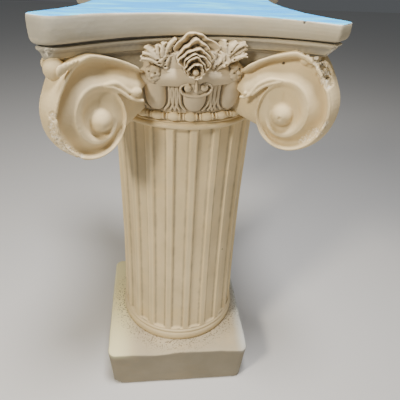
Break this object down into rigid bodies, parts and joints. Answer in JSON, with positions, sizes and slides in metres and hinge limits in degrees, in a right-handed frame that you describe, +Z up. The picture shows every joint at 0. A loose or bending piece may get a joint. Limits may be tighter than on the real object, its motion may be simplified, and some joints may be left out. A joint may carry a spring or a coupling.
{
  "type": "column pedestal",
  "caption": "Cast plaster column pedestal with a square plinth, a fluted shaft and an Ionic capital with corner volutes, a rose on each side and a hollow-sided top slab.",
  "frame": {"origin": "on the floor under the shaft's axis", "axes": "+Z up, -Y towards the side the picture shows"},
  "size_m": [0.393, 0.393, 0.74],
  "materials": {
    "capital_plaster": "matt cast plaster",
    "shaft_plaster": "matt cast plaster",
    "plinth_plaster": "matt cast plaster"
  },
  "bodies": {
    "root": {"capital": "capital_plaster", "shaft": "shaft_plaster", "plinth": "plinth_plaster"}
  },
  "joints": []
}
